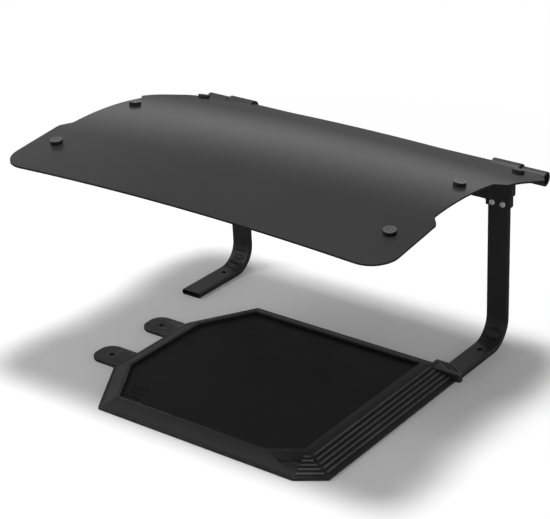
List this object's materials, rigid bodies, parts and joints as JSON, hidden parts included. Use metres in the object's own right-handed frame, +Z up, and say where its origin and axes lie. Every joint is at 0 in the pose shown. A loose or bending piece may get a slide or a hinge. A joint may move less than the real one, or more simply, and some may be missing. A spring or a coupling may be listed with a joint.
{
  "type": "robot mower garage",
  "caption": "Low garage for a robot mower: curved dark roof panel on side arms that tips up about a rear tube, two bent flat legs with a cross bar, and a moulded ground plate.",
  "frame": {"origin": "on the floor, at the centre of the part's bounding box seen from above", "axes": "+X along the wide side of the roof, to the right seen from the open front; +Y to the back, where the tube and legs are; +Z up"},
  "size_m": [0.73, 0.6002, 0.3975],
  "materials": {
    "roof_sheet": "matt dark grey sheet",
    "frame_steel": "black powder coat",
    "rivet_plastic": "satin black",
    "bright_zinc": "bright zinc plate",
    "plate_plastic": "matt black moulding"
  },
  "bodies": {
    "stand": {"cross_bar": "frame_steel", "leg_left": "frame_steel", "leg_bracket_left": "frame_steel", "leg_bolt_left_1": "bright_zinc", "leg_bolt_left_2": "bright_zinc", "domed_nut_left_1": "bright_zinc", "domed_nut_left_2": "bright_zinc", "leg_right": "frame_steel", "leg_bracket_right": "frame_steel", "leg_bolt_right_1": "bright_zinc", "leg_bolt_right_2": "bright_zinc", "domed_nut_right_1": "bright_zinc", "domed_nut_right_2": "bright_zinc", "ground_plate": "plate_plastic"},
    "roof": {"roof_panel": "roof_sheet", "rear_tube": "frame_steel", "roof_arm_left": "frame_steel", "push_rivet_front_left": "rivet_plastic", "push_rivet_middle_left": "rivet_plastic", "push_rivet_rear_left": "rivet_plastic", "roof_arm_right": "frame_steel", "push_rivet_front_right": "rivet_plastic", "push_rivet_middle_right": "rivet_plastic", "push_rivet_rear_right": "rivet_plastic"}
  },
  "joints": [
    {"name": "roof_hinge", "type": "hinge", "parent": "stand", "child": "roof", "pos_m": [0, 0.2845, 0.32], "axis": [-1, 0, 0], "range_deg": [0, 95]}
  ]
}
